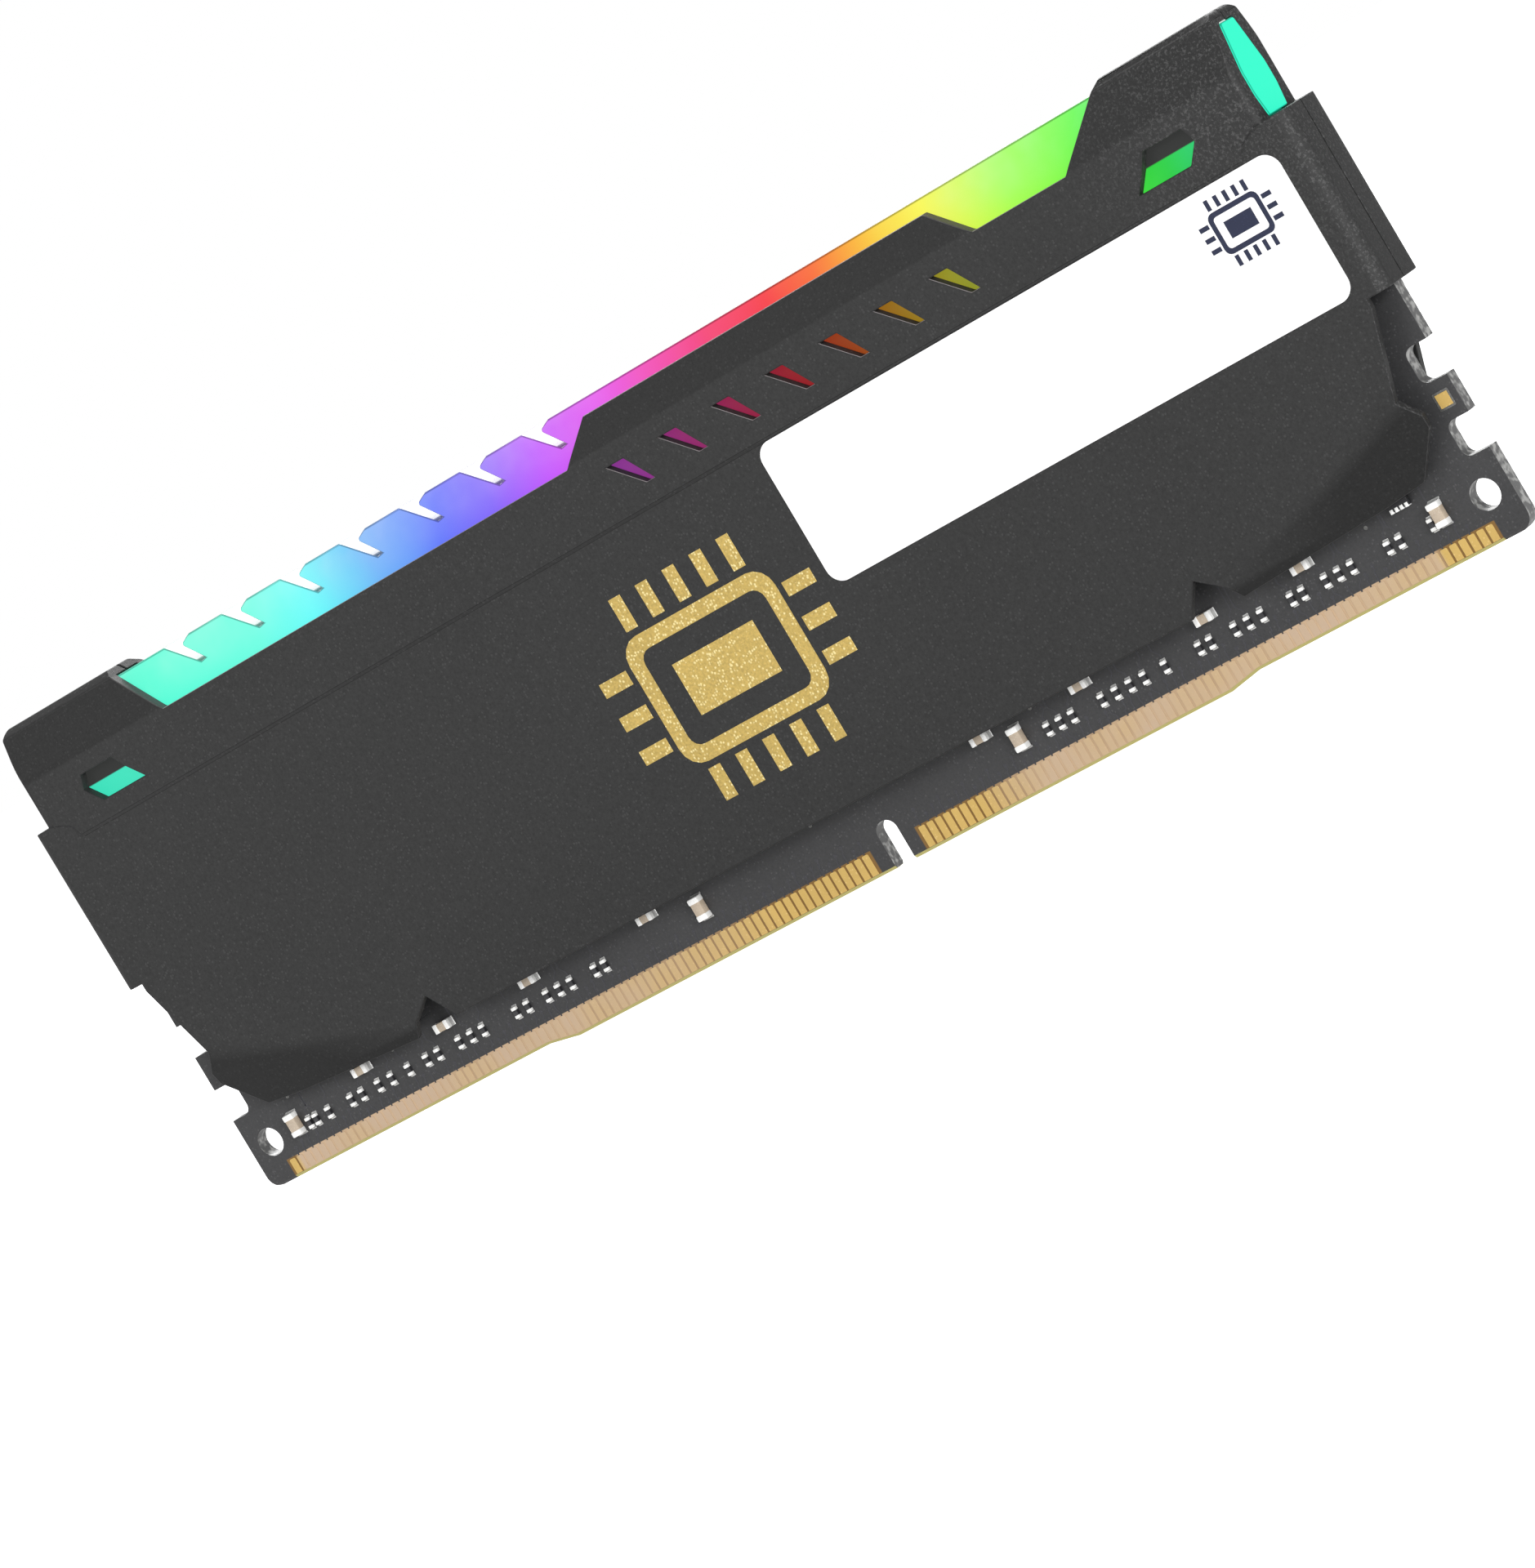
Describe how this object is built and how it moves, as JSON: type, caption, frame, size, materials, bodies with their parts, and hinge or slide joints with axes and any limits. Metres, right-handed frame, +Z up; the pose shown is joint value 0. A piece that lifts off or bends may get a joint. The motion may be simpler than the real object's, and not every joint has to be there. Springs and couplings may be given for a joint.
{
  "type": "ram module",
  "caption": "Desktop memory module with two black heat spreader shells, a toothed light bar along the top, a white label and gold edge contacts beside an off-centre key notch.",
  "frame": {"origin": "middle of the board's length and thickness, at the lowest point of its contact edge", "axes": "+X along the board from the first contact to the last, -Y out of the front face with the label, +Z up from the contact edge to the light bar"},
  "size_m": [0.1348, 0.007, 0.045],
  "materials": {
    "board_mask": "black solder mask over glass-fibre laminate, satin",
    "contact_gold": "thin gold plating over copper",
    "spreader_coat": "fine textured black powder coat on aluminium sheet",
    "light_guide": "milky light guide, lit from below",
    "thermal_pad": "soft grey silicone pad",
    "label_paper": "white satin paper sticker",
    "chip_mould": "black epoxy mould compound",
    "solder": "bright solder",
    "capacitor_ceramic": "beige ceramic with tinned ends",
    "resistor_ceramic": "dark film on ceramic with tinned ends",
    "led_body": "white package with clear window"
  },
  "bodies": {
    "root": {"circuit_board": "board_mask", "contacts_front_long": "contact_gold", "contacts_front_short": "contact_gold", "contacts_back_long": "contact_gold", "contacts_back_short": "contact_gold", "chip_solder_balls": "solder", "heat_spreader_front": "spreader_coat", "heat_spreader_back": "spreader_coat", "light_bar": "light_guide", "thermal_pad_front": "thermal_pad", "thermal_pad_back": "thermal_pad", "label_front": "label_paper", "led_capacitors": "capacitor_ceramic", "config_memory": "chip_mould", "light_controller": "chip_mould", "capacitors_large": "capacitor_ceramic", "capacitors_medium": "capacitor_ceramic", "resistors_front": "resistor_ceramic", "resistor_network": "resistor_ceramic", "resistors_back": "resistor_ceramic", "test_pad": "contact_gold", "memory_chip_1": "chip_mould", "memory_chip_2": "chip_mould", "memory_chip_3": "chip_mould", "memory_chip_4": "chip_mould", "memory_chip_5": "chip_mould", "memory_chip_6": "chip_mould", "memory_chip_7": "chip_mould", "memory_chip_8": "chip_mould", "led_1": "led_body", "led_2": "led_body", "led_3": "led_body", "led_4": "led_body", "led_5": "led_body", "led_6": "led_body", "led_7": "led_body", "led_8": "led_body"}
  },
  "joints": []
}
